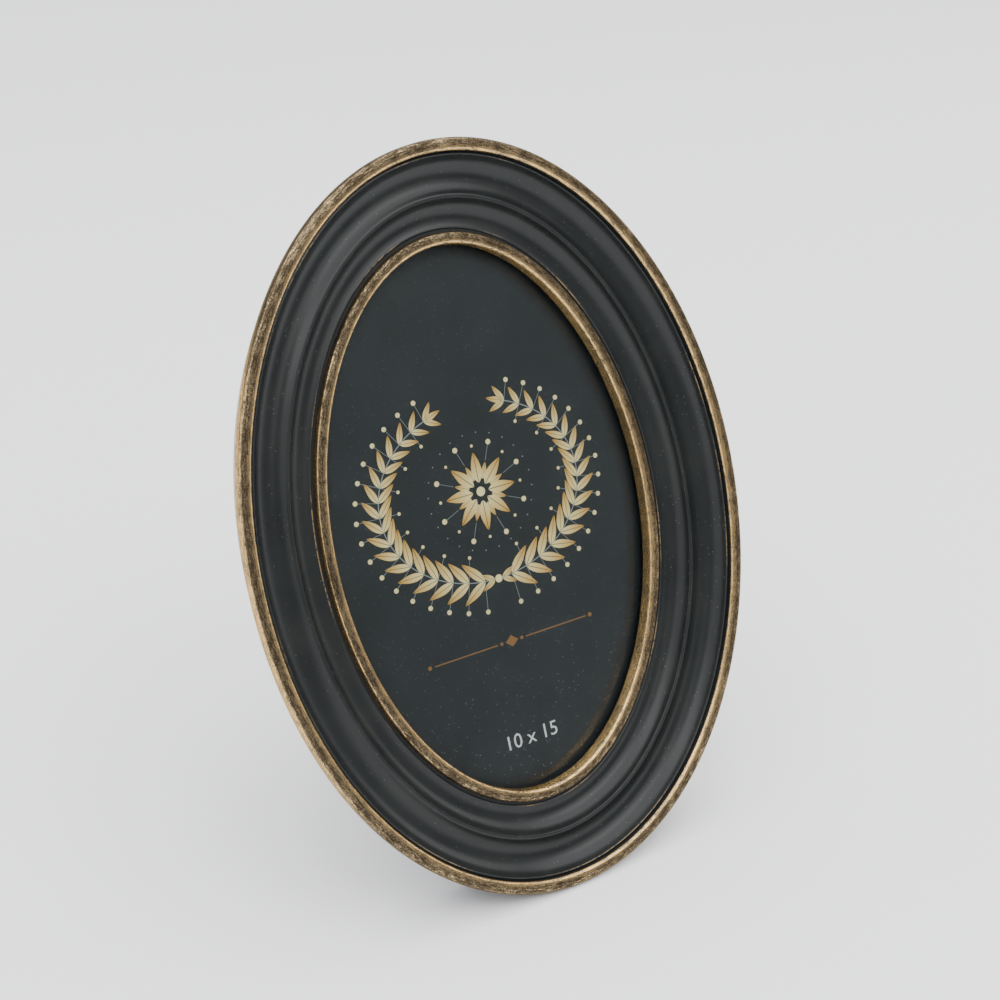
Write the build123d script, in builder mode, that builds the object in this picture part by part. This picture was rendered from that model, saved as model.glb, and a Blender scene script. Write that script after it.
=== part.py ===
from build123d import *
from math import cos, pi, radians, sin
import os

os.makedirs("parts", exist_ok=True)

# Oval picture frame on an easel leg, in millimetres and degrees.
# X runs to the viewer's right, the picture faces -Y and Z is up.
# The origin is on the small flat that the moulding stands on.

# Outline of the moulding, which is an ellipse, and the way that the frame stands
outline_half_width = 73.5
outline_half_height = 100.0
lean = 22.0
stand_cut = 0.5
stand_setback = 2.5

# Layers in the rebate, from the back to the front
board_thickness = 3.0
card_thickness = 1.45
print_thickness = 0.2
print_gap = 0.15
glass_thickness = 2.0
edge_gap = 0.3
covering_thickness = 0.3

# Section of the moulding: widths run inwards from the outline
back_inset = 5.4
wall_top_inset = 0.75
rim_width = 3.5
rim_shoulder = 0.65
quirk_width = 0.8
outer_cove_width = 9.7
ridge_width = 0.9
inner_cove_width = 7.2
groove_slope = 0.4
groove_width = 0.7
bead_width = 3.2
bead_shoulder = 0.65
lip_width = 4.0

# Section of the moulding: rises run forwards from the lip
lip_thickness = 2.2
groove_depth = 0.4
bead_rise = 1.15
inner_cove_rise = 3.9
outer_cove_rise = 2.9
quirk_depth = 0.4
rim_rise = 1.2
rim_side_length = 2.1
rim_underside = 1.8
inner_cove_depth = 2.0
outer_cove_depth = 3.0
crown = 0.06

# Easel leg and its hinge; the drop runs down from the top of the rebate
hinge_drop = 39.6
leg_opening = 35.0
leg_thickness = 3.0
leg_top_width = 30.0
leg_foot_width = 42.0
leg_shoulder_radius = 6.0
leg_top_gap = 0.5
fold_gap = 0.2
leaf_thickness = 0.8
leaf_length = 14.0
leaf_corner_radius = 2.0
hinge_width = 26.0
middle_knuckle_width = 9.0
knuckle_gap = 0.15
leaf_gap = 0.3
pin_radius = 1.45
running_clearance = 0.05
pin_proud = 0.5
pin_chamfer = 0.3
stop_reach = 6.0
stop_gap = 0.05
hinge_rivet_spacing = 16.0
hinge_rivet_height = 9.5

# Rivets and screws
rivet_radius = 1.0
rivet_head_radius = 2.0
rivet_head_height = 0.8
head_round = 0.5
fastener_gap = 0.02
screw_radius = 1.1
screw_head_radius = 2.6
screw_head_height = 1.3
screw_length = 6.0
recess_length = 2.8
recess_width = 0.6
recess_depth = 0.7

# Turn buttons, which hold the back board in
pivot_inset = 13.0
button_reach = 14.5
button_tail = 5.5
button_width = 7.0
button_thickness = 1.0
button_gap = 0.05
button_boss_radius = 2.4
button_edge = 0.2

# Places of the turn buttons round the oval, as shares of a full turn from the right
button_shares = {"upper_right": 0.125, "upper_left": 0.375, "lower_left": 0.625, "lower_right": 0.875}

# Hanger on the back board
hanger_drop = 13.6
hanger_wire_radius = 0.7
strap_thickness = 0.6
strap_width = 7.4
strap_length = 8.0
strap_corner_radius = 2.0
strap_rivet_drop = 4.6
ring_half_width = 5.6
ring_corner_radius = 1.5
ring_leg = 2.4

# One overrun serves every cut
overrun = 5.0

# Heights of the layers and of the section above the plane of the back
card_back = board_thickness
print_back = card_back + card_thickness
glass_back = print_back + print_thickness + print_gap
rebate_depth = glass_back + glass_thickness
groove_floor = rebate_depth + lip_thickness
inner_arris_height = groove_floor + groove_depth
ridge_height = inner_arris_height + inner_cove_rise
outer_arris_height = ridge_height + outer_cove_rise
quirk_floor = outer_arris_height - quirk_depth
rim_shoulder_height = quirk_floor + rim_rise
rim_top = rim_shoulder_height + rim_shoulder
rim_side_height = rim_shoulder_height - rim_side_length
wall_top_height = rim_side_height - rim_underside
bead_shoulder_height = groove_floor + bead_rise
bead_top = bead_shoulder_height + bead_shoulder

# Insets of the section from the outline
outer_arris_inset = rim_width + quirk_width
ridge_outer_inset = outer_arris_inset + outer_cove_width
ridge_inner_inset = ridge_outer_inset + ridge_width
inner_arris_inset = ridge_inner_inset + inner_cove_width
groove_inset = inner_arris_inset + groove_slope
bead_inset = groove_inset + groove_width
sight_inset = bead_inset + bead_width

# The rebate and the layers in it are ovals with the same middle
rebate_half_width = outline_half_width - sight_inset + lip_width
rebate_half_height = outline_half_height - sight_inset + lip_width
layer_half_width = rebate_half_width - edge_gap
layer_half_height = rebate_half_height - edge_gap

# The plane of the back leans, and its origin is the middle of the oval
back_edge = outline_half_height - back_inset
back_face = Plane(
    origin=(0, back_edge * sin(radians(lean)) + stand_setback, back_edge * cos(radians(lean)) - stand_cut),
    x_dir=(1, 0, 0),
    z_dir=(0, -cos(radians(lean)), sin(radians(lean))),
)

# The hinge axis lies along X, so that the board leaf lies flat on the covering
hinge_height = rebate_half_height - hinge_drop
bore_radius = pin_radius + running_clearance
barrel_radius = bore_radius + leaf_thickness
hinge_point = back_face.from_local_coords(Vector(0, hinge_height, -covering_thickness - barrel_radius))
foot_angle = leg_opening - lean
leg_plane = Plane(
    origin=hinge_point,
    x_dir=(1, 0, 0),
    z_dir=(0, -cos(radians(foot_angle)), -sin(radians(foot_angle))),
)
board_section = Plane(origin=hinge_point, x_dir=back_face.y_dir, z_dir=(1, 0, 0))
leg_section = Plane(origin=hinge_point, x_dir=leg_plane.y_dir, z_dir=(1, 0, 0))
leg_inner = barrel_radius - fold_gap
leg_outer = leg_inner - leg_thickness - 2 * covering_thickness
leg_top = barrel_radius + leg_top_gap
leg_length = hinge_point.Z / cos(radians(foot_angle)) + overrun
board_rivet_height = hinge_height + hinge_rivet_height
board_rivet_places = [(side * hinge_rivet_spacing / 2, board_rivet_height) for side in (-1, 1)]
leg_rivet_places = [(side * hinge_rivet_spacing / 2, -hinge_rivet_height) for side in (-1, 1)]

# The hanger's eye lies along X above the hinge, and the strap lies flat on the covering
eye_bore_radius = hanger_wire_radius + running_clearance
eye_radius = eye_bore_radius + strap_thickness
hanger_height = rebate_half_height - hanger_drop
eye_point = back_face.from_local_coords(Vector(0, hanger_height, -covering_thickness - eye_radius))
eye_section = Plane(origin=eye_point, x_dir=back_face.y_dir, z_dir=(1, 0, 0))
hanger_rivet_place = (0, hanger_height - strap_rivet_drop)


def pivot_plane(share):
    """Plane on the moulding's back at a turn button's screw, with X towards the board and Z backwards."""
    across = cos(2 * pi * share)
    up = sin(2 * pi * share)
    outward = Vector(across / outline_half_width, up / outline_half_height, 0).normalized()
    edge = Vector(outline_half_width * across, outline_half_height * up, 0)
    place = back_face.from_local_coords(edge - outward * pivot_inset)
    inward = back_face.x_dir * -outward.X + back_face.y_dir * -outward.Y
    return Plane(origin=place, x_dir=inward, z_dir=-back_face.z_dir)


pivot_planes = {place: pivot_plane(share) for place, share in button_shares.items()}
button_lift = covering_thickness + button_gap
button_back = button_lift + button_thickness
screw_seat = button_back + button_gap

# Moulding: one section swept round the oval, with the flat that it stands on
with BuildPart() as moulding:
    with BuildLine(back_face) as outline:
        EllipticalCenterArc((0, 0), outline_half_width, outline_half_height, start_angle=0, arc_size=360)
    outline_edge = outline.line.edges()[0]
    section = Plane(origin=outline_edge @ 0, x_dir=-back_face.x_dir, z_dir=outline_edge % 0)
    with BuildSketch(section):
        with BuildLine():
            Polyline((sight_inset, 0), (back_inset, 0), (wall_top_inset, wall_top_height))
            Polyline((wall_top_inset, wall_top_height), (0, rim_side_height), (0, rim_shoulder_height))
            RadiusArc((0, rim_shoulder_height), (rim_shoulder, rim_top), rim_shoulder)
            SagittaArc((rim_shoulder, rim_top), (rim_width - rim_shoulder, rim_top), crown)
            RadiusArc((rim_width - rim_shoulder, rim_top), (rim_width, rim_shoulder_height), rim_shoulder)
            Polyline(
                (rim_width, rim_shoulder_height),
                (rim_width, quirk_floor),
                (outer_arris_inset, outer_arris_height),
            )
            SagittaArc(
                (outer_arris_inset, outer_arris_height), (ridge_outer_inset, ridge_height), -outer_cove_depth
            )
            Line((ridge_outer_inset, ridge_height), (ridge_inner_inset, ridge_height))
            SagittaArc(
                (ridge_inner_inset, ridge_height), (inner_arris_inset, inner_arris_height), -inner_cove_depth
            )
            Polyline(
                (inner_arris_inset, inner_arris_height),
                (groove_inset, groove_floor),
                (bead_inset, groove_floor),
                (bead_inset, bead_shoulder_height),
            )
            bead_near, bead_far = bead_inset + bead_shoulder, sight_inset - bead_shoulder
            RadiusArc((bead_inset, bead_shoulder_height), (bead_near, bead_top), bead_shoulder)
            SagittaArc((bead_near, bead_top), (bead_far, bead_top), crown)
            RadiusArc((bead_far, bead_top), (sight_inset, bead_shoulder_height), bead_shoulder)
            Line((sight_inset, bead_shoulder_height), (sight_inset, 0))
        make_face()
    sweep(path=outline_edge)
    with BuildSketch(back_face):
        Ellipse(rebate_half_width, rebate_half_height)
    extrude(amount=rebate_depth, mode=Mode.SUBTRACT)
    split(bisect_by=Plane.XY, keep=Keep.TOP)
    with BuildSketch(*pivot_planes.values()):
        Circle(screw_radius + fastener_gap)
    extrude(amount=-screw_length, mode=Mode.SUBTRACT)
moulding.part.label = "moulding"
export_step(moulding.part, "parts/moulding.step")

# Glass, print, packing card and back board, which lie in the rebate
with BuildPart() as glass_pane:
    with BuildSketch(back_face.offset(glass_back)):
        Ellipse(layer_half_width, layer_half_height)
    extrude(amount=glass_thickness)
glass_pane.part.label = "glass_pane"
export_step(glass_pane.part, "parts/glass_pane.step")

with BuildPart() as print_sheet:
    with BuildSketch(back_face.offset(print_back)):
        Ellipse(layer_half_width, layer_half_height)
    extrude(amount=print_thickness)
print_sheet.part.label = "print_sheet"
export_step(print_sheet.part, "parts/print_sheet.step")

with BuildPart() as packing_card:
    with BuildSketch(back_face.offset(card_back)):
        Ellipse(layer_half_width, layer_half_height)
    extrude(amount=card_thickness)
packing_card.part.label = "packing_card"
export_step(packing_card.part, "parts/packing_card.step")

with BuildPart() as back_board:
    with BuildSketch(back_face):
        Ellipse(layer_half_width, layer_half_height)
        with Locations(*board_rivet_places, hanger_rivet_place):
            Circle(rivet_radius + fastener_gap, mode=Mode.SUBTRACT)
    extrude(amount=board_thickness)
back_board.part.label = "back_board"
export_step(back_board.part, "parts/back_board.step")

with BuildPart() as board_covering:
    with BuildSketch(back_face):
        Ellipse(layer_half_width, layer_half_height)
        with Locations(*board_rivet_places, hanger_rivet_place):
            Circle(rivet_radius + fastener_gap, mode=Mode.SUBTRACT)
    extrude(amount=-covering_thickness)
board_covering.part.label = "board_covering"
export_step(board_covering.part, "parts/board_covering.step")

# Easel leg, which flares towards its foot, with its covering wrapped round it and its foot flat on the floor
with BuildSketch(leg_plane.offset(leg_outer)) as wrapped_shape:
    with BuildLine():
        Polyline(
            (-leg_top_width / 2, -leg_top),
            (leg_top_width / 2, -leg_top),
            (leg_foot_width / 2, -leg_length),
            (-leg_foot_width / 2, -leg_length),
            close=True,
        )
    make_face()
    fillet(wrapped_shape.vertices().sort_by(Axis.Y)[-2:], radius=leg_shoulder_radius)

with BuildSketch(leg_plane.offset(leg_outer + covering_thickness)) as bare_shape:
    add(wrapped_shape.sketch_local)
    offset(amount=-covering_thickness)

with BuildPart() as leg_board:
    extrude(to_extrude=bare_shape.sketch, amount=leg_thickness)
    with BuildSketch(leg_plane):
        with Locations(*leg_rivet_places):
            Circle(rivet_radius + fastener_gap)
    extrude(amount=overrun, both=True, mode=Mode.SUBTRACT)
    split(bisect_by=Plane.XY, keep=Keep.TOP)
leg_board.part.label = "leg_board"
export_step(leg_board.part, "parts/leg_board.step")

with BuildPart() as leg_covering:
    extrude(to_extrude=wrapped_shape.sketch, amount=leg_thickness + 2 * covering_thickness)
    extrude(to_extrude=bare_shape.sketch, amount=leg_thickness, mode=Mode.SUBTRACT)
    with BuildSketch(leg_plane):
        with Locations(*leg_rivet_places):
            Circle(rivet_radius + fastener_gap)
    extrude(amount=overrun, both=True, mode=Mode.SUBTRACT)
    split(bisect_by=Plane.XY, keep=Keep.TOP)
leg_covering.part.label = "leg_covering"
export_step(leg_covering.part, "parts/leg_covering.step")

# Leaf on the board, with the two outer knuckles
with BuildPart() as hinge_board_leaf:
    with BuildSketch(board_section):
        Circle(barrel_radius)
        with Locations((0, barrel_radius)):
            Rectangle(leaf_length, leaf_thickness, align=(Align.MIN, Align.MAX))
    extrude(amount=hinge_width / 2, both=True)
    top_corners = hinge_board_leaf.edges().filter_by(Axis(hinge_point, back_face.z_dir))
    fillet(top_corners.sort_by(Axis(hinge_point, back_face.y_dir))[-2:], radius=leaf_corner_radius)
    with BuildSketch(board_section):
        Rectangle(2 * (barrel_radius + leaf_gap), 2 * (barrel_radius + leaf_gap))
    extrude(amount=middle_knuckle_width / 2 + knuckle_gap, both=True, mode=Mode.SUBTRACT)
    with BuildSketch(board_section):
        Circle(bore_radius)
    extrude(amount=hinge_width, both=True, mode=Mode.SUBTRACT)
    with BuildSketch(back_face):
        with Locations(*board_rivet_places):
            Circle(rivet_radius + fastener_gap)
    extrude(amount=-overrun, mode=Mode.SUBTRACT)
hinge_board_leaf.part.label = "hinge_board_leaf"
export_step(hinge_board_leaf.part, "parts/hinge_board_leaf.step")

# Leaf on the leg, with the middle knuckle and the tab that stops it against the board leaf
with BuildPart() as hinge_leg_leaf:
    with BuildSketch(leg_section):
        with Locations((-barrel_radius - leaf_gap, leg_outer)):
            Rectangle(leaf_length - barrel_radius - leaf_gap, leaf_thickness, align=(Align.MAX, Align.MAX))
    extrude(amount=hinge_width / 2, both=True)
    low_corners = hinge_leg_leaf.edges().filter_by(Axis(hinge_point, leg_plane.z_dir))
    fillet(low_corners.sort_by(Axis(hinge_point, leg_plane.y_dir))[:2], radius=leaf_corner_radius)
    with BuildSketch(leg_section):
        Circle(barrel_radius)
        with Locations((0, leg_outer)):
            Rectangle(leaf_length / 2, leaf_thickness, align=(Align.MAX, Align.MAX))
    extrude(amount=middle_knuckle_width / 2, both=True)
    with BuildSketch(board_section):
        with Locations((0, barrel_radius - leaf_thickness - stop_gap)):
            Rectangle(stop_reach, leaf_thickness, align=(Align.MIN, Align.MAX))
    extrude(amount=middle_knuckle_width / 2, both=True)
    with BuildSketch(leg_section):
        Circle(bore_radius)
    extrude(amount=hinge_width, both=True, mode=Mode.SUBTRACT)
    with BuildSketch(leg_plane):
        with Locations(*leg_rivet_places):
            Circle(rivet_radius + fastener_gap)
    extrude(amount=-overrun, mode=Mode.SUBTRACT)
hinge_leg_leaf.part.label = "hinge_leg_leaf"
export_step(hinge_leg_leaf.part, "parts/hinge_leg_leaf.step")

with BuildPart() as hinge_pin:
    with BuildSketch(board_section):
        Circle(pin_radius)
    extrude(amount=hinge_width / 2 + pin_proud, both=True)
    chamfer(hinge_pin.edges().filter_by(GeomType.CIRCLE), length=pin_chamfer)
hinge_pin.part.label = "hinge_pin"
export_step(hinge_pin.part, "parts/hinge_pin.step")


def rivet_seats(face, height, places, normal):
    """Planes on the rivets' axes at one height above a face."""
    seats = [face.from_local_coords(Vector(across, up, height)) for across, up in places]
    return [Plane(origin=seat, x_dir=face.x_dir, z_dir=normal) for seat in seats]


# Rivets: a domed head on the leaf, and a shank that ends flush in the board or the leg
board_leaf_back = -covering_thickness - leaf_thickness
with BuildPart() as board_leaf_rivets:
    with BuildSketch(*rivet_seats(back_face, board_leaf_back, board_rivet_places, -back_face.z_dir)):
        Circle(rivet_head_radius)
    extrude(amount=rivet_head_height)
    fillet(board_leaf_rivets.edges().group_by(Axis(hinge_point, -back_face.z_dir))[-1], radius=head_round)
    with BuildSketch(*rivet_seats(back_face, board_leaf_back, board_rivet_places, back_face.z_dir)):
        Circle(rivet_radius)
    extrude(amount=leaf_thickness + covering_thickness + board_thickness)
board_leaf_rivets.part.label = "board_leaf_rivets"
export_step(board_leaf_rivets.part, "parts/board_leaf_rivets.step")

leg_leaf_back = leg_outer - leaf_thickness
with BuildPart() as leg_leaf_rivets:
    with BuildSketch(*rivet_seats(leg_plane, leg_leaf_back, leg_rivet_places, -leg_plane.z_dir)):
        Circle(rivet_head_radius)
    extrude(amount=rivet_head_height)
    fillet(leg_leaf_rivets.edges().group_by(Axis(hinge_point, -leg_plane.z_dir))[-1], radius=head_round)
    with BuildSketch(*rivet_seats(leg_plane, leg_leaf_back, leg_rivet_places, leg_plane.z_dir)):
        Circle(rivet_radius)
    extrude(amount=leg_inner - leg_leaf_back)
leg_leaf_rivets.part.label = "leg_leaf_rivets"
export_step(leg_leaf_rivets.part, "parts/leg_leaf_rivets.step")

# Turn buttons, each with a boss that holds it off the moulding at its screw
for place, pivot in pivot_planes.items():
    with BuildPart() as turn_button:
        with BuildSketch(pivot.offset(button_lift)):
            with Locations(((button_reach - button_tail) / 2, 0)):
                SlotOverall(button_reach + button_tail, button_width)
        extrude(amount=button_thickness)
        chamfer(turn_button.edges().group_by(Axis(pivot.origin, pivot.z_dir))[-1], length=button_edge)
        with BuildSketch(pivot.offset(button_gap)):
            Circle(button_boss_radius)
        extrude(amount=button_thickness)
        with BuildSketch(pivot):
            Circle(screw_radius + running_clearance)
        extrude(amount=button_back + overrun, mode=Mode.SUBTRACT)
    turn_button.part.label = "turn_button_" + place
    export_step(turn_button.part, "parts/turn_button_" + place + ".step")

# Screws of the turn buttons, with a crossed recess in each domed head
with BuildPart() as turn_button_screws:
    with BuildSketch(*[pivot.offset(screw_seat) for pivot in pivot_planes.values()]):
        Circle(screw_head_radius)
    extrude(amount=screw_head_height)
    outwards = Axis(back_face.origin, -back_face.z_dir)
    fillet(turn_button_screws.edges().group_by(outwards)[-1], radius=head_round)
    with BuildSketch(*[pivot.offset(screw_seat) for pivot in pivot_planes.values()]):
        Circle(screw_radius)
    extrude(amount=-screw_length - screw_seat)
    with BuildSketch(*[pivot.offset(screw_seat + screw_head_height) for pivot in pivot_planes.values()]):
        Rectangle(recess_length, recess_width)
        Rectangle(recess_width, recess_length)
    extrude(amount=-recess_depth, mode=Mode.SUBTRACT)
turn_button_screws.part.label = "turn_button_screws"
export_step(turn_button_screws.part, "parts/turn_button_screws.step")

# Hanger strap, which curls into an eye round the straight side of the ring
with BuildPart() as hanger_strap:
    with BuildSketch(eye_section):
        Circle(eye_radius)
        with Locations((0, eye_radius)):
            Rectangle(strap_length, strap_thickness, align=(Align.MAX, Align.MAX))
    extrude(amount=strap_width / 2, both=True)
    strap_corners = hanger_strap.edges().filter_by(Axis(eye_point, back_face.z_dir))
    fillet(strap_corners.sort_by(Axis(eye_point, back_face.y_dir))[:2], radius=strap_corner_radius)
    with BuildSketch(eye_section):
        Circle(eye_bore_radius)
    extrude(amount=strap_width, both=True, mode=Mode.SUBTRACT)
    with BuildSketch(back_face):
        with Locations(hanger_rivet_place):
            Circle(rivet_radius + fastener_gap)
    extrude(amount=-overrun, mode=Mode.SUBTRACT)
hanger_strap.part.label = "hanger_strap"
export_step(hanger_strap.part, "parts/hanger_strap.step")

strap_back = -covering_thickness - strap_thickness
with BuildPart() as hanger_rivet:
    with BuildSketch(*rivet_seats(back_face, strap_back, [hanger_rivet_place], -back_face.z_dir)):
        Circle(rivet_head_radius)
    extrude(amount=rivet_head_height)
    fillet(hanger_rivet.edges().group_by(Axis(eye_point, -back_face.z_dir))[-1], radius=head_round)
    with BuildSketch(*rivet_seats(back_face, strap_back, [hanger_rivet_place], back_face.z_dir)):
        Circle(rivet_radius)
    extrude(amount=strap_thickness + covering_thickness + board_thickness)
hanger_rivet.part.label = "hanger_rivet"
export_step(hanger_rivet.part, "parts/hanger_rivet.step")

# Hanger ring: a D of wire that hangs straight down from the eye
ring_plane = Plane(origin=eye_point, x_dir=(1, 0, 0), z_dir=(0, -1, 0))
ring_bar = ring_half_width - ring_corner_radius
with BuildPart() as hanger_ring:
    with BuildLine(ring_plane) as ring_path:
        Line((0, 0), (ring_bar, 0))
        RadiusArc((ring_bar, 0), (ring_half_width, -ring_corner_radius), ring_corner_radius)
        Line((ring_half_width, -ring_corner_radius), (ring_half_width, -ring_corner_radius - ring_leg))
        RadiusArc(
            (ring_half_width, -ring_corner_radius - ring_leg),
            (-ring_half_width, -ring_corner_radius - ring_leg),
            ring_half_width,
        )
        Line((-ring_half_width, -ring_corner_radius - ring_leg), (-ring_half_width, -ring_corner_radius))
        RadiusArc((-ring_half_width, -ring_corner_radius), (-ring_bar, 0), ring_corner_radius)
        Line((-ring_bar, 0), (0, 0))
    with BuildSketch(eye_section):
        Circle(hanger_wire_radius)
    sweep(path=ring_path.line)
hanger_ring.part.label = "hanger_ring"
export_step(hanger_ring.part, "parts/hanger_ring.step")
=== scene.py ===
from math import atan2, copysign, cos, hypot, pi, radians, sin

import bmesh
import bpy
from bpy.props import FloatProperty, FloatVectorProperty, IntProperty, PointerProperty
from mathutils import Matrix, Vector


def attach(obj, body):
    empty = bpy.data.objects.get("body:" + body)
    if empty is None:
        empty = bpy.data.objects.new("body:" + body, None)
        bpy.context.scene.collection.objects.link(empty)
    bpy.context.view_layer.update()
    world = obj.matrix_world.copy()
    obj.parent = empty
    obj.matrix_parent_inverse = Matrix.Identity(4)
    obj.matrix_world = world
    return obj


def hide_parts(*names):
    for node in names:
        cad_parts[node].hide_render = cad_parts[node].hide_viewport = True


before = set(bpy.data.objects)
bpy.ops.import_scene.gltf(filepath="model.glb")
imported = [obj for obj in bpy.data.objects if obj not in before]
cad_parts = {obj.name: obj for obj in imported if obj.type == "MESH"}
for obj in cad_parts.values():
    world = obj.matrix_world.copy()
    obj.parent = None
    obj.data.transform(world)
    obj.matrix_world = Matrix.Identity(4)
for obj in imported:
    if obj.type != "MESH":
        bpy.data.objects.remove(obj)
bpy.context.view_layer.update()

bl_info = {
    "name": "Oval picture frame",
    "version": (1, 0, 0),
    "blender": (4, 5, 0),
    "location": "View3D > Sidebar > Oval Frame",
    "description": "Builds the visible pieces of an oval picture frame around its packed model",
    "category": "Object",
}

MM = 0.001
# Vertices nearer than WELD become one, and places nearer than SAME are the same
WELD = 0.001 * MM
SAME = 0.01 * MM
ROOT = "frame"


def linear(hex_colour):
    """Linear RGBA of an sRGB hex colour such as #d9b57a."""
    shares = [int(hex_colour[start:start + 2], 16) / 255 for start in (1, 3, 5)]
    return tuple(s / 12.92 if s <= 0.04045 else ((s + 0.055) / 1.055) ** 2.4 for s in shares) + (1.0,)


def length(title, text, millimetres):
    """A length property, whose default is given in millimetres."""
    return FloatProperty(
        name=title, description=text, default=millimetres * MM, unit="LENGTH", precision=5
    )


def colour(title, text, hex_colour):
    """A colour property, whose default is an sRGB hex value."""
    return FloatVectorProperty(
        name=title, description=text, default=linear(hex_colour), size=4, subtype="COLOR"
    )


class OvalFrameSizes(bpy.types.PropertyGroup):
    """Sizes of the moulding, which insets count from its outline and heights from its back."""

    half_width: length("Half width", "Half the width of the outline", 73.5)
    half_height: length("Half height", "Half the height of the outline", 100.0)
    lean: FloatProperty(
        name="Lean", description="How far the frame leans back", default=radians(22.0), unit="ROTATION"
    )
    stand_cut: length("Standing cut", "Depth of the flat that the moulding stands on", 0.5)
    stand_setback: length("Standing setback", "From the origin back to the moulding's back edge", 2.5)
    back_inset: length("Back inset", "Inset of the back edge", 5.4)
    wall_top_inset: length("Wall inset", "Inset of the outer wall under the rim", 0.75)
    wall_top: length("Wall height", "Height of the outer wall under the rim", 13.1)
    rim_side: length("Rim side", "Height where the rim's side starts", 14.9)
    rim_width: length("Rim width", "Width of the rim", 3.5)
    rim_shoulder: length("Rim shoulder", "Radius of the rim's shoulders", 1.0)
    rim_top: length("Rim height", "Height of the rim at its shoulders", 17.65)
    quirk_floor: length("Quirk floor", "Height of the narrow groove inside the rim", 15.8)
    outer_arris_inset: length("Outer arris inset", "Inset of the arris inside the rim", 4.3)
    outer_arris: length("Outer arris height", "Height of the arris inside the rim", 16.2)
    ridge_inset: length("Ridge inset", "Inset of the ridge between the coves", 14.0)
    ridge_width: length("Ridge width", "Width of the flat on the ridge", 0.9)
    ridge: length("Ridge height", "Height of the ridge between the coves", 13.3)
    inner_arris_inset: length("Inner arris inset", "Inset of the arris outside the bead", 22.1)
    inner_arris: length("Inner arris height", "Height of the arris outside the bead", 9.4)
    groove_inset: length("Groove inset", "Inset of the groove outside the bead", 22.5)
    groove_floor: length("Groove floor", "Height of the groove outside the bead", 9.0)
    bead_inset: length("Bead inset", "Inset of the bead's outer side", 23.2)
    bead_width: length("Bead width", "Width of the bead", 3.2)
    bead_shoulder: length("Bead shoulder", "Radius of the bead's shoulders", 0.9)
    bead_top: length("Bead height", "Height of the bead at its shoulders", 10.8)
    crown: length("Crown", "Rise of the rim and the bead between their shoulders", 0.06)
    outer_cove: length("Outer cove", "Depth of the outer cove under its chord", 3.0)
    inner_cove: length("Inner cove", "Depth of the inner cove under its chord", 2.0)
    rebate_width: length("Rebate half width", "Half the width of the rebate", 51.1)
    rebate_height: length("Rebate half height", "Half the height of the rebate", 77.6)
    rebate_depth: length("Rebate depth", "Depth of the rebate from the back", 6.8)
    print_face: length("Print face", "Height of the printed face of the sheet", 4.65)
    steps: IntProperty(name="Steps", description="Steps round the oval", default=288, min=48)
    arc_steps: IntProperty(
        name="Arc steps", description="Steps along each round of the section", default=14, min=4
    )


class OvalFrameColours(bpy.types.PropertyGroup):
    """Colours of the finishes."""

    paint: colour("Paint", "Satin black paint of the moulding", "#1b1d1d")
    paint_bloom: colour("Paint bloom", "Paler cast where the paint has been handled", "#212322")
    # Besides the gold's own tones, the light gold paints the highlight on the shoulders, and the dark gold
    # paints shade along the top and on the outer side
    gold_light: colour("Light gold", "Gold where it was rubbed brightest", "#dcb578")
    gold_mid: colour("Gold", "Gold over most of the rim", "#85765d")
    gold_dark: colour("Dark gold", "Brown ground that shows through the gold", "#231c15")
    ground: colour("Print ground", "Dark ground of the print", "#2f3435")
    cream: colour("Cream ink", "Palest ink of the print", "#fbefae")
    gold_ink: colour("Gold ink", "Gold ink of the print", "#cf9c2f")
    bronze_ink: colour("Bronze ink", "Darker gold ink of the rule", "#8a6535")
    silver_ink: colour("Silver ink", "Fine lines of the print", "#8d9797")
    flock: colour("Flock", "Flocked paper on the back", "#141416")


def sizes():
    return bpy.context.scene.oval_frame_sizes


def colours():
    return bpy.context.scene.oval_frame_colours


def leaning():
    """Matrix from the moulding's plane to the row frame: x across, y up the oval, z forwards."""
    s = sizes()
    back_edge = s.half_height - s.back_inset
    middle = Vector((0, back_edge * sin(s.lean) + s.stand_setback, back_edge * cos(s.lean) - s.stand_cut))
    return Matrix.Translation(middle) @ Matrix.Rotation(pi / 2 - s.lean, 4, "X")


def add(tree, kind, links=None, **settings):
    """Adds a node. links gives its inputs a socket or a value, and settings are its properties."""
    node = tree.nodes.new(kind)
    for name, value in settings.items():
        setattr(node, name, value)
    for name, value in (links or {}).items():
        if isinstance(value, bpy.types.NodeSocket):
            tree.links.new(value, node.inputs[name])
        else:
            node.inputs[name].default_value = value
    return node


def new_material(name):
    """An empty material and its tree."""
    material = bpy.data.materials.new(name)
    material.use_nodes = True
    material.node_tree.nodes.clear()
    return material, material.node_tree


def surface(material, inputs):
    """Gives a material its shader, and returns the material."""
    tree = material.node_tree
    shader = add(tree, "ShaderNodeBsdfPrincipled", inputs)
    add(tree, "ShaderNodeOutputMaterial", {"Surface": shader.outputs[0]})
    return material


def object_place(tree):
    """Where each point lies on its object."""
    return add(tree, "ShaderNodeTexCoord").outputs["Object"]


def attribute(tree, name):
    """A vertex attribute that is one number."""
    return add(tree, "ShaderNodeAttribute", attribute_name=name).outputs["Fac"]


def noise(tree, place, size, **inputs):
    """Noise whose largest patches are about as wide as size."""
    return add(tree, "ShaderNodeTexNoise", {"Vector": place, "Scale": 1 / size, **inputs}).outputs["Fac"]


def stretched(tree, place, *lengths):
    """A place counted in one length along each axis, so that noise over it is drawn out."""
    scale = tuple(1 / length_along for length_along in lengths)
    return add(tree, "ShaderNodeMapping", {"Vector": place, "Scale": scale}).outputs[0]


def ranged(tree, value, low, high, start=0.0, end=1.0):
    """Runs from start to end while the value goes from low to high, and is held at both."""
    return add(tree, "ShaderNodeMapRange", {
        "Value": value, "From Min": low, "From Max": high, "To Min": start, "To Max": end,
    }).outputs["Result"]


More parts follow.
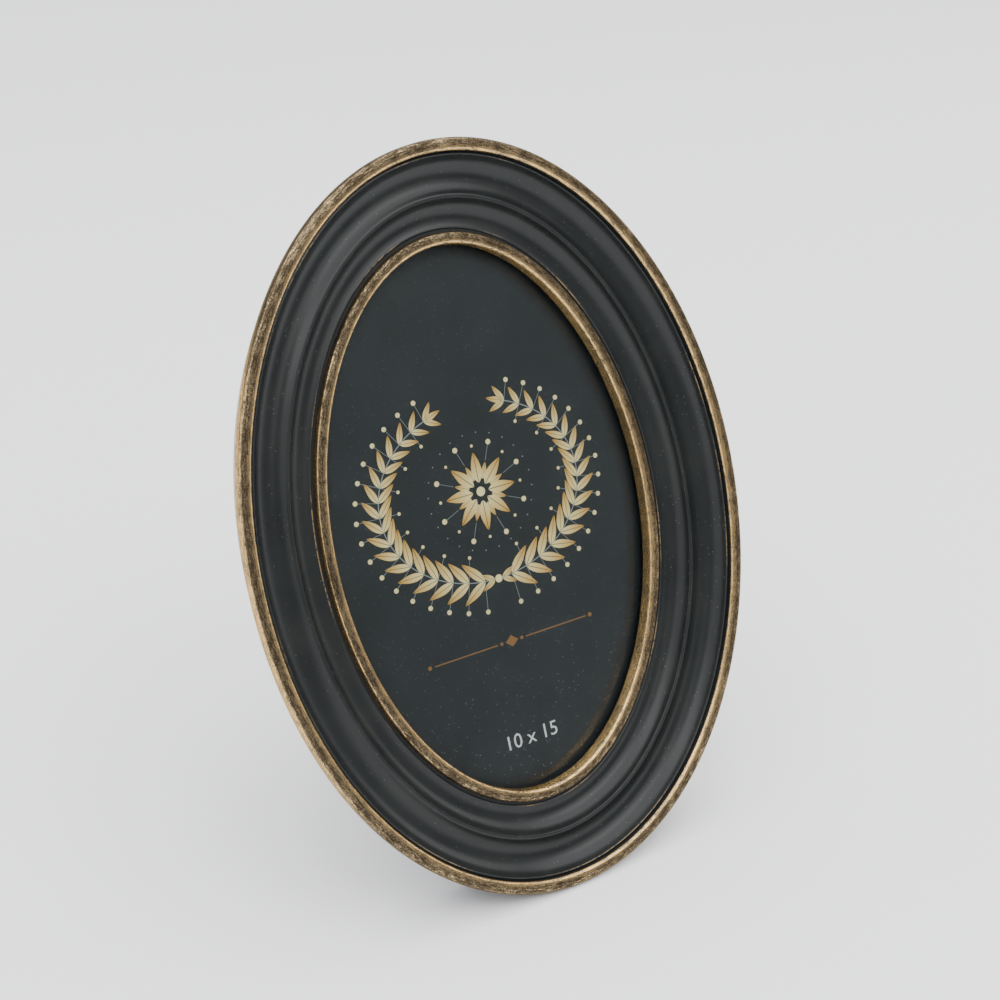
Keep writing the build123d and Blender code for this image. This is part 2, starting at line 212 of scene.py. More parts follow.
def maths(tree, operation, *values, **settings):
    """The result of an operation on sockets and numbers."""
    links = dict(enumerate(values))
    return add(tree, "ShaderNodeMath", links, operation=operation, **settings).outputs[0]


def mixed(tree, share, first, second):
    """The first colour where share is 0, and the second where it is 1."""
    # These sockets of the node are its share and its colours
    factor, one, other, result = 0, 6, 7, 2
    node = add(tree, "ShaderNodeMix", {factor: share, one: first, other: second}, data_type="RGBA")
    return node.outputs[result]


def raised(tree, height, strength, depth):
    """A normal that the height has tilted."""
    return add(tree, "ShaderNodeBump", {
        "Height": height, "Strength": strength, "Distance": depth,
    }).outputs["Normal"]


def specks(tree, place, spacing, edge, core, most=1.0):
    """Round specks. edge and core are shares of the spacing, and most is the share at a speck's core."""
    cells = add(tree, "ShaderNodeTexVoronoi", {"Vector": place, "Scale": 1 / spacing})
    return ranged(tree, cells.outputs["Distance"], edge, core, 0.0, most)


def black_paint():
    """Satin black paint on cast resin.

    It gives soft broad lights, a faint bloom, dust specks, a painted highlight along the arrises and the
    ridge, and gold on chipped arrises.
    """
    c = colours()
    material, tree = new_material("satin_black_resin_paint")
    place = object_place(tree)
    # Handling leaves a paler bloom in patches about 12 mm across
    bloom = noise(tree, place, 12 * MM, Detail=4.0)
    base = mixed(tree, ranged(tree, bloom, 0.4, 0.75), c.paint, c.paint_bloom)
    # Dust specks lie about 1.7 mm apart and fade out from 0.17 to 0.34 mm across
    dust = specks(tree, place, 1.7 * MM, 0.1, 0.05, 0.3)
    dusty = mixed(tree, dust, base, linear("#8c8f8c"))
    # Painted highlight: the paint is painted paler along every arris and along the ridge, as thin light lines
    edge_highlight = maths(tree, "MULTIPLY", attribute(tree, "edge"), 0.2)
    highlit_edges = mixed(tree, edge_highlight, dusty, linear("#777877"))
    # Wear along the arrises shows gold in broken runs about 20 mm long
    runs = ranged(tree, noise(tree, place, 22 * MM, Detail=1.0), 0.5, 0.62)
    grit = ranged(tree, noise(tree, place, 0.8 * MM, Detail=2.0), 0.42, 0.5)
    chips = maths(tree, "MULTIPLY", maths(tree, "MULTIPLY", runs, grit), attribute(tree, "arris"))
    # The paint film has a fine orange peel about 0.6 mm across
    peel = noise(tree, place, 0.6 * MM, Detail=2.0)
    return surface(material, {
        "Base Color": mixed(tree, chips, highlit_edges, linear("#a58a60")),
        "Roughness": ranged(tree, bloom, 0.0, 1.0, 0.24, 0.34),
        "Normal": raised(tree, peel, 0.06, 0.05 * MM), "IOR": 1.5, "Specular IOR Level": 0.28,
    })


def rubbed_gold(name, top_width):
    """Gold wax rubbed by hand over a brown ground.

    Its colour is painted bright on the shoulders as a highlight, and painted browner along the top as shade,
    where it is also speckled.
    """
    c = colours()
    material, tree = new_material(name)
    place = object_place(tree)
    rub = add(tree, "ShaderNodeAttribute", attribute_name="rub").outputs["Vector"]
    # The hand ran along the rim, so the wax lies in streaks about 2.2 mm long and 0.24 mm wide
    streak_length, streak_width = 2.2 * MM, 0.24 * MM
    run = stretched(tree, rub, streak_length, streak_length, streak_width)
    streaks = noise(tree, run, 1.0, Detail=3.0, Roughness=0.65)
    # The ground shows through in grains of 0.35 mm, and in patches about 5 mm across where the wax is thin
    grains = noise(tree, place, 0.35 * MM, Detail=3.0, Roughness=0.7)
    patches = noise(tree, place, 5 * MM, Detail=2.0)
    # Painted highlight and shade: the gold is painted brighter on the shoulders, most of all on the inner
    # one, and darker along the middle of the top
    parts = add(tree, "ShaderNodeSeparateXYZ", {"Vector": rub}).outputs
    sideways, across = parts["X"], parts["Z"]
    from_top = maths(tree, "ABSOLUTE", maths(tree, "ADD", across, 0.4 * MM))
    shoulder = ranged(tree, from_top, 0.3 * top_width, 0.75 * top_width, -0.038, 0.07)
    # Painted shade: the outer side is painted darker everywhere but at the left, where the light from the
    # left falls on it
    outer_shade_off_left = ranged(tree, sideways, -68 * MM, -52 * MM, 0.0, -0.12)
    outer_side = ranged(tree, across, -0.55 * top_width, -1.1 * top_width)
    # So the wax share carries painted highlight and shade, and the rubbed streaks, grains and patches are
    # added to it below
    wax = maths(tree, "MULTIPLY_ADD", outer_shade_off_left, outer_side, shoulder)
    for layer, weight in ((streaks, 0.42), (grains, 0.4), (patches, 0.18)):
        wax = maths(tree, "MULTIPLY_ADD", layer, weight, wax)
    tones = add(tree, "ShaderNodeValToRGB", {"Fac": wax})
    stops = ((0.4, c.gold_dark), (0.47, linear("#4a3f2f")), (0.53, c.gold_mid), (0.61, c.gold_light))
    ramp = tones.color_ramp.elements
    ramp[0].position, ramp[0].color = stops[0]
    ramp[1].position, ramp[1].color = stops[-1]
    for position, tone in stops[1:-1]:
        ramp.new(position).color = tone
    return surface(material, {
        "Base Color": tones.outputs["Color"],
        "Metallic": ranged(tree, wax, 0.42, 0.52, 0.4, 0.92),
        "Roughness": ranged(tree, wax, 0.42, 0.58, 0.42, 0.22),
        "Normal": raised(tree, wax, 0.4, 0.05 * MM), "Specular Tint": linear("#edd3a6"),
    })


def pane_glass():
    """Float glass: clear face on, with reflections that grow at a glancing view."""
    material, tree = new_material("float_glass")
    glancing = add(tree, "ShaderNodeFresnel", {"IOR": 1.5}).outputs[0]
    # Face on, the glossy print shows the reflection, so the pane's own starts where the view glances
    own = maths(tree, "SUBTRACT", glancing, 0.05, use_clamp=True)
    return surface(material, {
        "Base Color": linear("#f4f8f6"), "Metallic": 1.0, "Roughness": 0.13, "Alpha": own,
    })


def printed_ground():
    """Coated print paper with a dark ink ground: a faint mottle, and dust that sank under the glass."""
    material, tree = new_material("coated_print_paper")
    place = object_place(tree)
    # The ink lies unevenly in patches about 15 mm across
    mottle = noise(tree, place, 15 * MM, Detail=5.0)
    ink = mixed(tree, ranged(tree, mottle, 0.3, 0.7), colours().ground, linear("#34393b"))
    # Dust specks are up to 0.45 mm across, and show most where the sheet is low
    height = add(tree, "ShaderNodeSeparateXYZ", {"Vector": place}).outputs["Z"]
    sunk = ranged(tree, height, 25 * MM, 75 * MM, 0.42, 0.13)
    dust = maths(tree, "MULTIPLY", specks(tree, place, 1.5 * MM, 0.15, 0.09), sunk)
    return surface(material, {
        "Base Color": mixed(tree, dust, ink, linear("#8f9793")), "Roughness": 0.34,
        "Specular IOR Level": 0.25,
    })


def printing_ink(name, near, far):
    """Printing ink whose colour runs from near to far along each shape, as its tone says."""
    material, tree = new_material(name)
    ink = mixed(tree, attribute(tree, "tone"), near, far)
    return surface(material, {"Base Color": ink, "Roughness": 0.45})


def plain_ink(name, tone):
    """Printing ink of one colour."""
    return printing_ink(name, tone, tone)


def pressed_board(name, light, dark, fibre):
    """Pressed board or card: short fibres in two tones, with a matt face."""
    material, tree = new_material(name)
    fibres = noise(tree, object_place(tree), fibre, Detail=6.0, Distortion=1.5)
    board = mixed(tree, ranged(tree, fibres, 0.35, 0.65), linear(dark), linear(light))
    return surface(material, {
        "Base Color": board, "Roughness": 0.75, "Normal": raised(tree, fibres, 0.2, 0.1 * MM),
    })


def flocked_paper():
    """Flocked paper: a short black pile, paler at a glancing view and where it was stroked."""
    material, tree = new_material("flocked_paper")
    place = object_place(tree)
    # The pile stands in tufts about 0.5 mm across, and strokes lay it over in patches of 18 mm
    tufts = noise(tree, place, 0.5 * MM, Detail=3.0)
    strokes = noise(tree, place, 18 * MM, Detail=3.0, Distortion=0.8)
    pile = mixed(tree, ranged(tree, strokes, 0.4, 0.65), colours().flock, linear("#232326"))
    return surface(material, {
        "Base Color": pile, "Roughness": 0.95, "Normal": raised(tree, tufts, 0.6, 0.25 * MM),
        "Sheen Weight": 0.6, "Sheen Roughness": 0.4, "Sheen Tint": linear("#6d6d74"),
    })


def plated_metal(name, bright, dull, roughness, metallic=1.0):
    """Stamped and plated sheet metal: fine rolling marks, and duller patches where it has aged."""
    material, tree = new_material(name)
    place = object_place(tree)
    # Rolling marks are about 0.25 mm apart and run 4 mm along
    mark_width, mark_length = 0.25 * MM, 4 * MM
    marks = stretched(tree, place, mark_width, mark_length, mark_length)
    rolled = noise(tree, marks, 1.0, Detail=4.0)
    aged = noise(tree, place, 5 * MM, Detail=5.0)
    plate = mixed(tree, ranged(tree, aged, 0.45, 0.7), linear(bright), linear(dull))
    return surface(material, {
        "Base Color": plate, "Metallic": metallic,
        "Roughness": ranged(tree, rolled, 0.0, 1.0, roughness - 0.08, roughness + 0.1),
        "Normal": raised(tree, rolled, 0.08, 0.03 * MM),
    })


def new_piece(name, bm, materials, body=ROOT, replaced=()):
    """Makes an object of a bmesh in the row frame, and tells the frame what it rides on and stands for."""
    mesh = bpy.data.meshes.new(name)
    bm.to_mesh(mesh)
    bm.free()
    for material in materials:
        mesh.materials.append(material)
    piece = bpy.data.objects.new(name, mesh)
    bpy.context.collection.objects.link(piece)
    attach(piece, body)
    if replaced:
        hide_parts(*replaced)
    return piece


def soften(bm, sharp=radians(35)):
    """Smooth faces, with the edges that turn more than sharp kept crisp."""
    for face in bm.faces:
        face.smooth = True
    for edge in bm.edges:
        edge.smooth = len(edge.link_faces) == 2 and edge.calc_face_angle(0) < sharp


def rounded_copy(node, name, materials, body, radius, segments=2):
    """A copy of a CAD node with its sharp edges rounded, which stands for that node."""
    bm = bmesh.new()
    bm.from_mesh(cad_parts[node].data)
    bmesh.ops.remove_doubles(bm, verts=bm.verts, dist=WELD)
    bmesh.ops.dissolve_limit(bm, angle_limit=radians(1), verts=bm.verts, edges=bm.edges)
    crisp = [edge for edge in bm.edges if len(edge.link_faces) == 2 and edge.calc_face_angle(0) > radians(40)]
    bmesh.ops.bevel(bm, geom=crisp, offset=radius, offset_type="OFFSET", affect="EDGES", segments=segments,
                    profile=0.5, material=-1, clamp_overlap=True)
    soften(bm)
    return new_piece(name, bm, materials, body, (node,))


def dress(node, material):
    """Gives a CAD node its material."""
    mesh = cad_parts[node].data
    mesh.materials.clear()
    mesh.materials.append(material)


def arc_points(start, end, rise, steps):
    """Points of an arc from start to end, whose middle stands rise to the left of that way."""
    chord = (Vector(end) - Vector(start)).length
    radius = (chord ** 2 / 4 + rise ** 2) / (2 * abs(rise))
    along = (Vector(end) - Vector(start)).normalized()
    left = Vector((-along.y, along.x)) * (1 if rise > 0 else -1)
    centre = (Vector(start) + Vector(end)) / 2 + left * (abs(rise) - radius)
    first = Vector(start) - centre
    last = Vector(end) - centre
    sweep = first.angle(last) if abs(rise) <= radius else 2 * pi - first.angle(last)
    turn = -sweep if rise > 0 else sweep
    points = []
    for step in range(1, steps):
        angle = turn * step / steps
        spoke = Matrix.Rotation(angle, 2) @ first
        points.append(tuple(centre + spoke))
    return points


def round_shoulders(near, far, top, radius, crown, steps):
    """Points of a flat round moulding from near to far, which are insets, with its top at one height."""
    quarter = radius * (1 - cos(pi / 4))
    low = top - radius
    points = [(near, low)]
    points += arc_points((near, low), (near + radius, top), quarter, steps // 2)
    points += [(near + radius, top)]
    points += arc_points((near + radius, top), (far - radius, top), crown, 4)
    points += [(far - radius, top)]
    points += arc_points((far - radius, top), (far, low), quarter, steps // 2)
    return points + [(far, low)]


def section_points(s):
    """The moulding's section as (inset, height), from the back edge over the rim to the rebate."""
    outer = (s.outer_arris_inset, s.outer_arris)
    ridge_near = (s.ridge_inset, s.ridge)
    ridge_far = (s.ridge_inset + s.ridge_width, s.ridge)
    inner = (s.inner_arris_inset, s.inner_arris)
    sight = s.bead_inset + s.bead_width
    rebate = s.half_width - s.rebate_width
    points = [(s.back_inset, 0), (s.wall_top_inset, s.wall_top), (0, s.rim_side)]
    points += round_shoulders(0, s.rim_width, s.rim_top, s.rim_shoulder, s.crown, s.arc_steps)
    points += [(s.rim_width, s.quirk_floor), outer]
    points += arc_points(outer, ridge_near, -s.outer_cove, s.arc_steps)
    points += [ridge_near, ridge_far]
    points += arc_points(ridge_far, inner, -s.inner_cove, s.arc_steps)
    points += [inner, (s.groove_inset, s.groove_floor), (s.bead_inset, s.groove_floor)]
    points += round_shoulders(s.bead_inset, sight, s.bead_top, s.bead_shoulder, s.crown, s.arc_steps)
    points += [(sight, s.rebate_depth), (rebate, s.rebate_depth), (rebate, 0)]
    return points


def around(s, inset, height):
    """Distance over the rim or the bead from the middle of its top, inwards."""
    middle, top = s.rim_width / 2, s.rim_top
    if inset > s.inner_arris_inset:
        middle, top = s.bead_inset + s.bead_width / 2, s.bead_top
    return inset - middle + copysign(max(0, top - height), inset - middle)


def inset_of(s, place):
    """Inset of a place on the moulding while it is still round."""
    return s.half_width - hypot(place.x, place.y)


def arris_corners(s):
    """The two arrises that stand out, as (inset, height)."""
    return [(s.outer_arris_inset, s.outer_arris), (s.inner_arris_inset, s.inner_arris)]


def ridge_corners(s):
    """Both sides of the ridge between the coves, as (inset, height)."""
    return [(s.ridge_inset, s.ridge), (s.ridge_inset + s.ridge_width, s.ridge)]


def away_from(s, place, corners):
    """Distance over the section from a place to the nearest of some corners."""
    inset = inset_of(s, place)
    return min(hypot(inset - corner[0], place.z - corner[1]) for corner in corners)


def round_moulding(s):
    """The section turned round the middle, with its arrises and its ridge rounded."""
    bm = bmesh.new()
    ring = [bm.verts.new((s.half_width - inset, 0, height)) for inset, height in section_points(s)]
    loop = [bm.edges.new((ring[index - 1], ring[index])) for index in range(len(ring))]
    bmesh.ops.spin(bm, geom=ring + loop, cent=(0, 0, 0), axis=(0, 0, 1), angle=2 * pi, steps=s.steps,
                   use_merge=True)
    bmesh.ops.remove_doubles(bm, verts=bm.verts, dist=WELD)
    corners = ridge_corners(s) + arris_corners(s)
    rounds = []
    for edge in bm.edges:
        start, end = (vert.co for vert in edge.verts)
        runs_round = abs(inset_of(s, start) - inset_of(s, end)) < SAME
        if runs_round and away_from(s, start, corners) < SAME and away_from(s, end, corners) < SAME:
            rounds.append(edge)
    arris_round = 0.25 * MM
    bmesh.ops.bevel(bm, geom=rounds, offset=arris_round, offset_type="OFFSET", affect="EDGES", segments=3,
                    profile=0.5, material=-1)
    bmesh.ops.recalc_face_normals(bm, faces=bm.faces)
    return bm


def mark_wear(s, bm):
    """Marks where the paint can chip, and where a painted highlight lightens the arrises and the ridge."""
    chipped = bm.verts.layers.float.new("arris")
    highlit_edges = bm.verts.layers.float.new("edge")
    arrises, ridge = arris_corners(s), ridge_corners(s)
    chip_reach, highlight_reach = 0.25 * MM, 0.2 * MM
    # The painted highlight is stronger on the two outstanding arrises than on the ridge between the coves
    ridge_highlight, ridge_reach = 0.2, 0.6 * MM
    for vert in bm.verts:
        nearest = away_from(s, vert.co, arrises)
        on_ridge = ridge_highlight - away_from(s, vert.co, ridge) / ridge_reach
        vert[chipped] = max(0.0, 1 - nearest / chip_reach)
        vert[highlit_edges] = max(0.0, 1 - nearest / highlight_reach, on_ridge)


def lay_finishes(s, bm):
    """Gives the rim's faces the second material and the bead's the third."""
    # The wax runs a little past the bead's sides, and down inside the sight edge
    overlap, sight_gold = 0.1 * MM, 1.2 * MM
    bead_near, bead_far = s.bead_inset - overlap, s.bead_inset + s.bead_width + overlap
    for face in bm.faces:
        middle = face.calc_center_median()
        inset = inset_of(s, middle)
        if inset < s.rim_width - SAME and middle.z > s.wall_top:
            face.material_index = 1
        elif bead_near < inset < bead_far and middle.z > s.groove_floor - sight_gold:
            face.material_index = 2


def lay_on_oval(s, bm):
    """Moves the round moulding to its oval, and notes for the gold how its parts run."""
    rub = bm.verts.layers.float_vector.new("rub")
    rebate = s.half_width - s.rebate_width
    for vert in bm.verts:
        turn = atan2(vert.co.y, vert.co.x)
        inset = inset_of(s, vert.co)
        across, up = s.half_width * cos(turn), s.half_height * sin(turn)
        vert[rub] = (across, up, around(s, inset, vert.co.z))
        if abs(inset - rebate) < SAME and vert.co.z < s.rebate_depth + SAME:
            vert.co.x = s.rebate_width * cos(turn)
            vert.co.y = s.rebate_height * sin(turn)
            continue
        outward = Vector((cos(turn) / s.half_width, sin(turn) / s.half_height)).normalized()
        vert.co.x = across - inset * outward.x
        vert.co.y = up - inset * outward.y


def cut_stand(bm):
    """Cuts the moulding off at the floor, and closes the flat that it stands on."""
    everything = bm.verts[:] + bm.edges[:] + bm.faces[:]
    cut = bmesh.ops.bisect_plane(bm, geom=everything, plane_co=(0, 0, 0), plane_no=(0, 0, -1),
                                 clear_outer=True)
    cut_edges = [part for part in cut["geom_cut"] if isinstance(part, bmesh.types.BMEdge)]
    bmesh.ops.contextual_create(bm, geom=cut_edges)


class OVALFRAME_OT_moulding(bpy.types.Operator):
    """Makes the cast moulding with its gold rim and bead"""

    bl_idname = "oval_frame.moulding"
    bl_label = "Moulding"

    def execute(self, context):
        s = sizes()
        bm = round_moulding(s)
        mark_wear(s, bm)
        lay_finishes(s, bm)
        lay_on_oval(s, bm)
        bmesh.ops.transform(bm, matrix=leaning(), verts=bm.verts)
        cut_stand(bm)
        soften(bm)
        finishes = [black_paint(), rubbed_gold("rubbed_gold_rim", s.rim_width / 2),
                    rubbed_gold("rubbed_gold_bead", s.bead_width / 2)]
        new_piece("moulding_casting", bm, finishes, ROOT, ("moulding",))
        return {"FINISHED"}


class OVALFRAME_OT_glazing(bpy.types.Operator):
    """Dresses the glass, the print sheet and the card behind it"""

    bl_idname = "oval_frame.glazing"
    bl_label = "Glass, print and card"

    def execute(self, context):
        dress("glass_pane", pane_glass())
        dress("print_sheet", printed_ground())
        dress("packing_card", pressed_board("grey_packing_card", "#a19a8c", "#7d776b", 0.6 * MM))
        return {"FINISHED"}


# Places in the artwork are (across, up) from the middle of the print
ARTWORK_MIDDLE = Vector((0, 8.0 * MM))
# Half sizes of the oval that the wreath's stems follow
WREATH = Vector((30.5 * MM, 24.0 * MM))
HAIR = 0.13 * MM


def half_leaf(bm, tone, side, size, width, matrix):
    """Half of a pointed leaf beside its midrib, from its base at the origin along x."""
    steps = 7
    rib = 0.03 * width * side
    corners = [(0, rib, 0)]
    for step in range(1, steps):
        share = step / steps
        # The leaf is fullest a little before its middle, and slims towards its tip
        swell = sin(pi * share ** 0.8) ** 0.9 * (1 - 0.15 * share)
        corners.append((share * size, rib + side * swell * width / 2, share))
    corners.append((size, rib, 1))
    verts = []
    for across, up, share in corners:
        vert = bm.verts.new(matrix @ Vector((across, up, 0)))
        vert[tone] = share
        verts.append(vert)
    bm.faces.new(verts if side > 0 else verts[::-1])


def leaf(gold, place, heading, size, width):
    """A pointed leaf from its base at place, in two halves."""
    tone = gold.verts.layers.float["tone"]
    matrix = Matrix.Translation((place.x, place.y, 0)) @ Matrix.Rotation(heading, 4, "Z")
    for half in (-1, 1):
        half_leaf(gold, tone, half, size, width, matrix)


def thin_line(bm, start, end, width):
    """A straight stroke of ink."""
    along = (Vector(end) - Vector(start)).normalized()
    aside = Vector((-along.y, along.x)) * width / 2
    corners = [Vector(start) - aside, Vector(end) - aside, Vector(end) + aside, Vector(start) + aside]
    bm.faces.new([bm.verts.new((corner.x, corner.y, 0)) for corner in corners])


def dot(bm, centre, radius, segments=12):
    """A round dot of ink."""
    bmesh.ops.create_circle(bm, cap_ends=True, segments=segments, radius=radius,
                            matrix=Matrix.Translation((centre[0], centre[1], 0)))


def on_wreath(side, degrees_up):
    """A place on one stem of the wreath, by its angle from the level through the middle."""
    turn = radians(degrees_up)
    return ARTWORK_MIDDLE + Vector((side * WREATH.x * cos(turn), WREATH.y * sin(turn)))


def along_wreath(side, degrees_up):
    """The way in which that stem grows at that place."""
    return (on_wreath(side, degrees_up + 1) - on_wreath(side, degrees_up)).normalized()


def wreath_branch(gold, cream, silver, side):
    """One branch of the wreath: a stem with pairs of leaves, and berries on hairs."""
    stem_start, first_pair, stem_end = -88.0, -82.0, 66.0
    pairs = 17
    longest_leaf, leaf_taper, slimness = 8.6 * MM, 3.2 * MM, 0.3
    leaf_spread = radians(40)
    berry_radius, inner_berry_radius, inner_hair = 0.68 * MM, 0.48 * MM, 0.12 * MM
    for pair in range(pairs):
        share = pair / (pairs - 1)
        degrees_up = first_pair + (stem_end - first_pair) * share
        place = on_wreath(side, degrees_up)
        ahead = along_wreath(side, degrees_up)
        heading = atan2(ahead.y, ahead.x)
        size = longest_leaf - leaf_taper * share
        for spread in (-1, 1):
            leaf(gold, place, heading + spread * leaf_spread, size, slimness * size)
        # Berries hang outside each pair, and inside every second one, a little past the leaves
        outward = Vector((ahead.y, -ahead.x)) * side
        berry = place + outward * (size * 0.8 + 1.3 * MM)
        thin_line(silver, place, berry, HAIR)
        dot(cream, berry, berry_radius)
        if pair % 2 == 1:
            inner = place - outward * (size * 0.7 + 0.9 * MM)
            thin_line(silver, place, inner, inner_hair)
            dot(cream, inner, inner_berry_radius)
    ahead = along_wreath(side, stem_end)
    tip_length, tip_width = 5.6 * MM, 1.7 * MM
    leaf(gold, on_wreath(side, stem_end), atan2(ahead.y, ahead.x), tip_length, tip_width)
    steps = 48
    stem_width = 0.28 * MM
    angles = [stem_start + (stem_end - stem_start) * step / steps for step in range(steps + 1)]
    for here, there in zip(angles, angles[1:]):
        thin_line(silver, on_wreath(side, here), on_wreath(side, there), stem_width)


def wreath_tie(gold, cream):
    """Four small leaves and a dot where the two stems meet."""
    foot = on_wreath(1, -90)
    leaf_length, leaf_width, leaf_offset = 4.6 * MM, 1.5 * MM, 1.2 * MM
    for side in (-1, 1):
        base = foot + Vector((side * leaf_offset, 0))
        for from_upright in (62, 118):
            leaf(gold, base, pi / 2 - side * radians(from_upright), leaf_length, leaf_width)
    dot(cream, foot, 1.1 * MM)


def flower(gold, cream, silver):
    """A flower of broad and narrow petals, with rays and dots around it."""
    petals = 8
    petal_start, petal_length, petal_width = 2.4 * MM, 8.2 * MM, 3.1 * MM
    narrow_start, narrow_length, narrow_width = 3.4 * MM, 4.6 * MM, 1.5 * MM
    ray_start, ray_end, ray_dot, ray_dot_radius = 8.4 * MM, 12.6 * MM, 13.4 * MM, 0.75 * MM
    petal_dot, petal_dot_radius = 12.4 * MM, 0.42 * MM
    for petal in range(petals):
        turn = 2 * pi * petal / petals
        out = Vector((cos(turn), sin(turn)))
        leaf(gold, ARTWORK_MIDDLE + out * petal_start, turn, petal_length, petal_width)
        between = turn + pi / petals
        ray = Vector((cos(between), sin(between)))
        leaf(gold, ARTWORK_MIDDLE + ray * narrow_start, between, narrow_length, narrow_width)
        thin_line(silver, ARTWORK_MIDDLE + ray * ray_start, ARTWORK_MIDDLE + ray * ray_end, HAIR)
        dot(cream, ARTWORK_MIDDLE + ray * ray_dot, ray_dot_radius)
        dot(cream, ARTWORK_MIDDLE + out * petal_dot, petal_dot_radius)
    ring_dots, ring_radius, ring_dot_radius = 24, 15.8 * MM, 0.2 * MM
    for step in range(ring_dots):
        turn = 2 * pi * (step + 0.5) / ring_dots
        dot(silver, ARTWORK_MIDDLE + Vector((cos(turn), sin(turn))) * ring_radius, ring_dot_radius, 8)
    dot(cream, ARTWORK_MIDDLE, 1.3 * MM, 16)


def lozenge_rule():
    """A plain rule in two halves, with dots at their ends and a lozenge between them."""
    height, rule_width = -33.5 * MM, 0.35 * MM
    line_start, line_end = 4.5 * MM, 24 * MM
    near_dot, near_dot_radius = 3.2 * MM, 0.5 * MM
    far_dot, far_dot_radius = 25.5 * MM, 0.6 * MM
    half_width, half_height = 2.0 * MM, 1.6 * MM
    rule = bmesh.new()
    for side in (-1, 1):
        thin_line(rule, (side * line_start, height), (side * line_end, height), rule_width)
        dot(rule, (side * far_dot, height), far_dot_radius)
        dot(rule, (side * near_dot, height), near_dot_radius)
    lozenge = [(-half_width, 0), (0, -half_height), (half_width, 0), (0, half_height)]
    rule.faces.new([rule.verts.new((across, height + up, 0)) for across, up in lozenge])
    return rule


def size_digits():
    """The size of the print in plain digits, low on the sheet."""
    digit_size, height = 5.6 * MM, -62.3 * MM
    letters = bpy.data.curves.new("print_size", "FONT")
    letters.body = "10 x 15"
    letters.size = digit_size
    letters.align_x = "CENTER"
    letters.resolution_u = 6
    holder = bpy.data.objects.new("print_size_text", letters)
    bpy.context.collection.objects.link(holder)
    bpy.context.view_layer.update()
    depsgraph = bpy.context.evaluated_depsgraph_get()
    outline = bpy.data.meshes.new_from_object(holder.evaluated_get(depsgraph))
    digits = bmesh.new()
    digits.from_mesh(outline)
    bpy.data.objects.remove(holder)
    bmesh.ops.remove_doubles(digits, verts=digits.verts, dist=WELD)
    bmesh.ops.translate(digits, verts=digits.verts, vec=(0, height, 0))
    return digits


def raise_ink(name, bm, material):
    """Gives the ink its thickness, and lays it just clear of the face of the print."""
    ink_height, clearance = 0.03 * MM, 0.01 * MM
    for face in bm.faces:
        if face.calc_area() > 0:
            face.normal_update()
            if face.normal.z < 0:
                face.normal_flip()
    extruded = bmesh.ops.extrude_face_region(bm, geom=bm.faces[:], use_keep_orig=True)
    top = [part for part in extruded["geom"] if isinstance(part, bmesh.types.BMVert)]
    bmesh.ops.translate(bm, verts=top, vec=(0, 0, ink_height))
    bmesh.ops.recalc_face_normals(bm, faces=bm.faces)
    lift = Matrix.Translation((0, 0, sizes().print_face + clearance))
    bmesh.ops.transform(bm, matrix=leaning() @ lift, verts=bm.verts)
    return new_piece(name, bm, [material])


class OVALFRAME_OT_artwork(bpy.types.Operator):
    """Prints a plain laurel wreath, a rule and the print's size"""

    bl_idname = "oval_frame.artwork"
    bl_label = "Printed design"

    def execute(self, context):
        c = colours()
        gold, cream, silver = bmesh.new(), bmesh.new(), bmesh.new()
        gold.verts.layers.float.new("tone")
        for side in (-1, 1):
            wreath_branch(gold, cream, silver, side)
        wreath_tie(gold, cream)
        flower(gold, cream, silver)
        raise_ink("print_leaves", gold, printing_ink("gold_printing_ink", c.cream, c.gold_ink))
        raise_ink("print_berries", cream, plain_ink("cream_printing_ink", c.cream))
        raise_ink("print_lines", silver, plain_ink("silver_printing_ink", c.silver_ink))
        raise_ink("print_rule", lozenge_rule(), plain_ink("bronze_printing_ink", c.bronze_ink))
        raise_ink("print_size", size_digits(), plain_ink("white_printing_ink", linear("#dfe2df")))
        return {"FINISHED"}


class OVALFRAME_OT_back(bpy.types.Operator):
    """Dresses the back board and the easel leg with their coverings"""

    bl_idname = "oval_frame.back"
    bl_label = "Back board and leg"

    def execute(self, context):
        board = pressed_board("hardboard", "#8a6342", "#5d4029", 0.9 * MM)
        flock = flocked_paper()
        dress("back_board", board)
        dress("leg_board", board)
        rounded_copy("board_covering", "board_flock", [flock], ROOT, 0.1 * MM)
        rounded_copy("leg_covering", "leg_flock", [flock], "leg", 0.1 * MM)
        return {"FINISHED"}


class OVALFRAME_OT_hardware(bpy.types.Operator):
    """Makes the hinge, its rivets, the turn buttons with their screws and the hanger"""

    bl_idname = "oval_frame.hardware"
    bl_label = "Hinge, buttons and hanger"

    def execute(self, context):
        nickel = plated_metal("nickel_plated_steel", "#c9c6bf", "#9b978e", 0.3)
        rivet = plated_metal("bright_rivet_steel", "#d2d0cb", "#aaa69d", 0.25)
        brass = plated_metal("lacquered_brass", "#c9a15a", "#93713a", 0.28)
        enamel = plated_metal("black_enamelled_steel", "#1b1b1c", "#2a2a2a", 0.4, 0.0)
        rounded_copy("hinge_board_leaf", "board_leaf", [nickel], ROOT, 0.12 * MM)
        rounded_copy("hinge_leg_leaf", "leg_leaf", [nickel], "leg", 0.12 * MM)
        rounded_copy("hinge_pin", "pivot_pin", [rivet], ROOT, 0.05 * MM)
        rounded_copy("board_leaf_rivets", "board_rivets", [rivet], ROOT, 0.03 * MM)
        rounded_copy("leg_leaf_rivets", "leg_rivets", [rivet], "leg", 0.03 * MM)
        for place in ("upper_right", "upper_left", "lower_left", "lower_right"):
            rounded_copy("turn_button_" + place, "button_plate_" + place, [enamel],
                         "button_" + place, 0.08 * MM)
        rounded_copy("turn_button_screws", "button_screws", [rivet], ROOT, 0.03 * MM)
        rounded_copy("hanger_strap", "hanger_plate", [brass], ROOT, 0.08 * MM)
        rounded_copy("hanger_rivet", "hanger_stud", [rivet], ROOT, 0.03 * MM)
        rounded_copy("hanger_ring", "hanger_wire", [brass], "hanger", 0.02 * MM)
        return {"FINISHED"}


